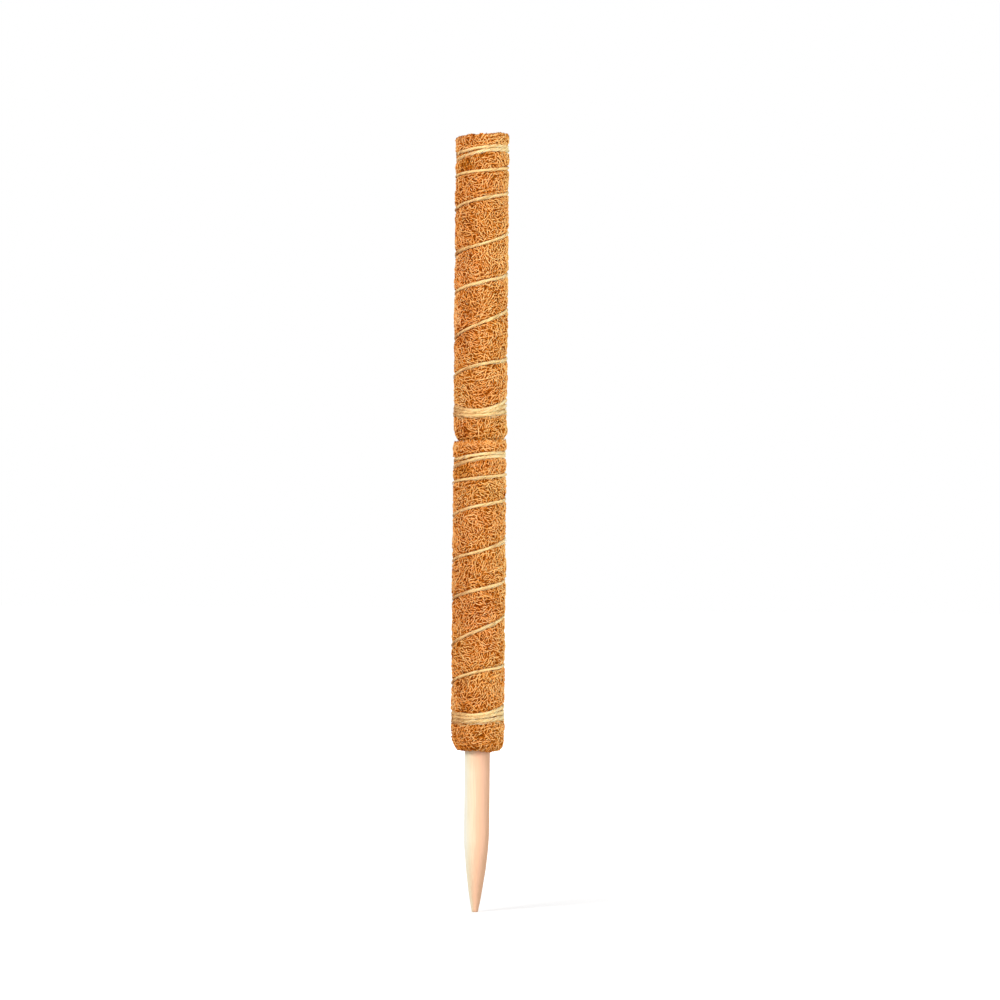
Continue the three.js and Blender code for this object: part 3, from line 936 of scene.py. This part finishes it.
def wood_material():
    """Pale turned softwood with bands and fine grain, cream on the left to darker pinkish on the right:
    that change from side to side is painted light and shade.

    It is darker where the point was cut, partly for its cut grain and partly as painted shade, and
    darker where the stake sits in the coir, as painted shade.
    """
    material, add, link = new_material("pale_wood", 0.6)
    spot = object_place(add)
    grain_place = stretched(add, spot, (1.0, 1.0, 0.045))
    fine = noise(add, grain_place, Scale=2600.0, Detail=4.0)
    broad = noise(add, grain_place, Scale=300.0, Detail=2.0)
    flat = add("ShaderNodeVectorMath", {0: spot}, {"operation": "MULTIPLY"})
    flat.inputs[1].default_value = (1.0, 1.0, 0.0)
    facing = add("ShaderNodeVectorMath", {0: flat.outputs["Vector"]}, {"operation": "NORMALIZE"})
    parts = add("ShaderNodeSeparateXYZ", {"Vector": facing.outputs["Vector"]})
    along = add("ShaderNodeSeparateXYZ", {"Vector": map_place(add)}).outputs["Y"]
    # darker towards the tip: partly the cut grain, partly painted shade
    cut = remap(add, along, (0.1, 0.45), (0.26, 0.0))
    # painted shade where the stake goes into the coir
    painted_seat_shade = remap(add, along, (0.64, 0.69), (0.0, 0.14))
    waver = remap(add, broad, (0.2, 0.8), (-0.08, 0.08))
    grain = remap(add, fine, (0.2, 0.8), (-0.09, 0.09))
    # painted light and shade: lighter on the left, darker and pinker on the right
    shade = remap(add, parts.outputs["X"], (-1.0, 1.0))
    for shift in (waver, grain, cut, painted_seat_shade):
        shade = calculated(add, "ADD", shade, shift)
    link(ramp(add, shade, [
        (0.0, srgb(252, 248, 233)), (0.2, srgb(246, 233, 202)), (0.34, srgb(242, 220, 185)),
        (0.48, srgb(239, 199, 164)), (0.66, srgb(238, 189, 153)), (0.8, srgb(228, 180, 148)),
        (1.0, srgb(206, 163, 130)),
    ]), "Base Color")
    link(bumped(add, fine, strength=0.25, distance=0.0001), "Normal")
    return material


def pipe_material():
    """Plain extruded pipe: grey-white, satin, with faint draw lines."""
    material, add, link = new_material("grey_pipe", 0.4)
    lines = noise(add, stretched(add, object_place(add), (1.0, 1.0, 0.02)), Scale=1800.0, Detail=3.0)
    link(ramp(add, lines, [(0.3, srgb(186, 184, 176)), (0.7, srgb(208, 206, 198))]), "Base Color")
    link(remap(add, lines, end=(0.35, 0.5)), "Roughness")
    return material


# Turned pieces

ROUND_SIDES = 96

TIP_RADIUS = 1.2
POINT_LENGTH = 30.0
POINT_SHOULDER = 18.5  # height where the slope of the tip would meet the shaft
POINT_RINGS = 60
POINT_HOLLOW = 0.18  # how far the point's sides are cut in
POINT_LEAN = 0.45  # how far the tip is off the axis, to the left
LEAN_REACH = 50.0
SHAFT_RINGS = 60
STAKE_CHAMFER = 0.8
FLAT_CELLS = (11, 9)  # of the flats, round the stake and up the lowest part of it
FLAT_PARTS = 3  # parts of the stake's length, of which the lowest has them
FLAT_START = 4.0  # height over which they begin
FLAT_DEPTH = 0.05
WOOD_CELLS = (60, 14)
WOOD_DEPTH = 0.012
WALL_MARGIN = 0.01  # above and below the walls in the map, where the two ends are
CAP_EDGE = 0.004


def stake_profile():
    """Half outline of the stake from its tip to its chamfered top."""
    t = np.linspace(0, 1, POINT_RINGS)[:, None]
    point = (
        (1 - t) ** 2 * np.array([TIP_RADIUS, 0])
        + 2 * t * (1 - t) * np.array([STAKE_RADIUS, POINT_SHOULDER])
        + t**2 * np.array([STAKE_RADIUS, POINT_LENGTH])
    )
    shaft = np.linspace(POINT_LENGTH, STAKE_LENGTH - STAKE_CHAMFER, SHAFT_RINGS)[1:]
    return np.concatenate([
        point,
        np.stack([STAKE_RADIUS + 0 * shaft, shaft], -1),
        [(STAKE_RADIUS - STAKE_CHAMFER, STAKE_LENGTH)],
    ])


def stake(name, rng, material):
    """A turned stake with faint flats where its point was sharpened."""
    flats = smooth_field(rng, *FLAT_CELLS)
    grain = smooth_field(rng, *WOOD_CELLS)

    def relief(angle, height):
        turn = angle / TURN
        share = height / STAKE_LENGTH
        cut = fade(height, POINT_LENGTH) ** 0.5 * np.clip(height / FLAT_START, 0, 1)
        hollow = POINT_HOLLOW * np.sin(math.pi * np.clip(height / POINT_LENGTH, 0, 1))
        return FLAT_DEPTH * cut * flats(turn, share * FLAT_PARTS) - hollow + WOOD_DEPTH * grain(turn, share)

    profile = stake_profile()
    points = turned(profile, ROUND_SIDES, relief)
    points[:, 0] -= POINT_LEAN * fade(points[:, 2], LEAN_REACH) ** 2
    quads, uvs = ring_faces(len(profile), ROUND_SIDES, closed_along=False)
    ends = np.array([(-POINT_LEAN, 0, 0), (0, 0, STAKE_LENGTH)])
    side = np.arange(ROUND_SIDES)
    after = (side + 1) % ROUND_SIDES
    last = (len(profile) - 1) * ROUND_SIDES
    tip = np.stack([after, side, 0 * side + len(points)], -1)
    top = np.stack([side + last, after + last, 0 * side + len(points) + 1], -1)
    triangles = np.concatenate([quads[:, [0, 1, 2]], quads[:, [0, 2, 3]], tip, top])

    fan = np.stack([side, after, side + 0.5], -1) / ROUND_SIDES
    tip_map = np.stack([fan[:, [1, 0, 2]], np.broadcast_to([CAP_EDGE, CAP_EDGE, 0.0], fan.shape)], -1)
    top_map = np.stack([fan, np.broadcast_to([1 - CAP_EDGE, 1 - CAP_EDGE, 1.0], fan.shape)], -1)
    walls = np.concatenate([uvs[:, [0, 1, 2]], uvs[:, [0, 2, 3]]])
    walls[..., 1] = WALL_MARGIN + (1 - 2 * WALL_MARGIN) * walls[..., 1]
    uvs = np.concatenate([walls, tip_map, top_map])
    return make_object(name, np.concatenate([points, ends]), triangles, uvs, material)


TUBE_WALL = 1.0
TUBE_CHAMFER = 0.4
EDGE_BREAK = 0.15


def pipe(name, material):
    """The core pipe with its edges broken."""
    bore = TUBE_RADIUS - TUBE_WALL
    low, high = TUBE_LOW[2], TUBE_HIGH[2]
    profile = np.array([
        (bore + TUBE_CHAMFER, low), (TUBE_RADIUS - EDGE_BREAK, low), (TUBE_RADIUS, low + EDGE_BREAK),
        (TUBE_RADIUS, high - EDGE_BREAK), (TUBE_RADIUS - EDGE_BREAK, high), (bore + TUBE_CHAMFER, high),
        (bore, high - TUBE_CHAMFER), (bore, low + TUBE_CHAMFER),
    ])
    quads, uvs = ring_faces(len(profile), ROUND_SIDES, closed_along=True)
    return make_object(name, turned(profile, ROUND_SIDES), quads, uvs, material)


# The pole

FELT = felt_material()
FIBRE = fibre_material()
JUTE = jute_material()
WOOD = wood_material()
PIPE = pipe_material()

for section in SECTIONS:
    mat = Mat(section)
    body = section.pole_body
    part = section.name
    dowel = stake(f"{part}_stake_wood", seeded(section, STAKE_SOURCE), WOOD)
    place(dowel, section, section.stake_body, "wood", f"{part}_stake")
    place(pipe(f"{part}_pipe", PIPE), section, body, "plastic", f"{part}_core_tube")
    place(mat_body(f"{part}_coir_felt", mat, FELT), section, body, "coir", f"{part}_coir_mat")
    for number, layer in enumerate(LAYERS):
        rng = seeded(section, LAYER_SOURCE + number)
        place(fibres(f"{part}_{layer.name}", mat, rng, layer, FIBRE), section, body, "coir")
    rng = seeded(section, FRINGE_SOURCE)
    fringe = fibres(f"{part}_{FRINGE.name}", mat, rng, FRINGE, FIBRE, FRINGE_ENDS[section.joined])
    place(fringe, section, body, "coir")
    if section.joined == "top":
        place(lip(f"{part}_coir_lip", seeded(section, LIP_SOURCE), FIBRE), section, body, "coir")
    twine = yarn(f"{part}_twine_yarn", section, seeded(section, YARN_SOURCE), JUTE)
    place(twine, section, body, "jute", f"{part}_twine")


# Camera, floor and light

VIEW_WIDTH = 0.3849  # metres across the picture at the pole
VIEW_DISTANCE = 2.2
VIEW_END = 50
SENSOR = 36.0
ROLL = 0.0085  # the pole leans a little to the right in the picture
AIM = Vector((0.0079, 0.0, 0.1586))
FLOOR_HALF = 6.0
FLOOR_SHADE = 0.65
FLOOR_GLOW = (0.45, 1.0)  # near the pole and far from it
FLOOR_FADE = (0.08, 0.5)  # distances from the pole
WORLD_LIGHT = 0.445
Lamp = namedtuple("Lamp", "name location size power")
LAMPS = (
    Lamp("key", (-0.9, -1.35, 0.9), 0.5, 18.8),
    Lamp("fill", (1.3, -1.0, 0.3), 0.8, 16.6),
    Lamp("back", (0.3, 1.7, 0.8), 1.0, 13.0),
)
LAMP_AIM = Vector((0, 0, 0.15))  # the pole's middle


def make_camera():
    """A level long lens in front of the pole."""
    camera = bpy.data.objects.new("camera", bpy.data.cameras.new("camera"))
    camera.data.sensor_width = SENSOR
    camera.data.lens = SENSOR * VIEW_DISTANCE / VIEW_WIDTH
    camera.data.clip_end = VIEW_END
    camera.location = AIM + Vector((0, -VIEW_DISTANCE, 0))
    camera.rotation_euler = (math.pi / 2, -ROLL, 0)
    bpy.context.scene.collection.objects.link(camera)
    bpy.context.scene.camera = camera


def area_light(lamp):
    """A soft square lamp that faces the pole's middle."""
    light = bpy.data.objects.new(lamp.name, bpy.data.lights.new(lamp.name, "AREA"))
    light.data.size = lamp.size
    light.data.energy = lamp.power
    light.location = lamp.location
    light.rotation_euler = (LAMP_AIM - light.location).to_track_quat("-Z", "Y").to_euler()
    bpy.context.scene.collection.objects.link(light)


def seen_directly(tree):
    """A socket that is 1 for the camera and for what mirrors or glass show it, and 0 for other light."""
    path = tree.nodes.new("ShaderNodeLightPath")
    value = path.outputs["Is Camera Ray"]
    for ray in ("Is Glossy Ray", "Is Transmission Ray"):
        either = tree.nodes.new("ShaderNodeMath")
        either.operation = "MAXIMUM"
        tree.links.new(value, either.inputs[0])
        tree.links.new(path.outputs[ray], either.inputs[1])
        value = either.outputs["Value"]
    return value


def make_floor():
    """A pale floor under the tip, that turns to plain white away from the pole."""
    h = FLOOR_HALF
    mesh = bpy.data.meshes.new("floor")
    mesh.from_pydata([(-h, -h, 0), (h, -h, 0), (h, h, 0), (-h, h, 0)], [], [(0, 1, 2, 3)])
    floor = bpy.data.objects.new("floor", mesh)
    bpy.context.scene.collection.objects.link(floor)
    material, add, link = new_material("floor", 1.0, gloss=0.0)
    tree = material.node_tree
    shader = tree.nodes["Principled BSDF"]
    shader.inputs["Base Color"].default_value = (FLOOR_SHADE, FLOOR_SHADE, FLOOR_SHADE, 1)
    shader.inputs["Emission Color"].default_value = (1, 1, 1, 1)
    away = add("ShaderNodeVectorMath", {0: object_place(add)}, {"operation": "LENGTH"})
    glow = remap(add, away.outputs["Value"], FLOOR_FADE, FLOOR_GLOW)
    link(calculated(add, "MULTIPLY", glow, seen_directly(tree)), "Emission Strength")
    mesh.materials.append(material)


def make_world():
    """A world that looks white and lights the pole evenly and softly."""
    world = bpy.data.worlds.new("world")
    bpy.context.scene.world = world
    world.use_nodes = True
    tree = world.node_tree
    strength = tree.nodes.new("ShaderNodeMapRange")
    strength.inputs["To Min"].default_value = WORLD_LIGHT
    strength.inputs["To Max"].default_value = 1.0
    tree.links.new(seen_directly(tree), strength.inputs["Value"])
    background = tree.nodes["Background"]
    background.inputs["Color"].default_value = (1, 1, 1, 1)
    tree.links.new(strength.outputs["Result"], background.inputs["Strength"])


make_camera()
make_floor()
make_world()
for lamp in LAMPS:
    area_light(lamp)
bpy.context.scene.view_settings.view_transform = "Standard"
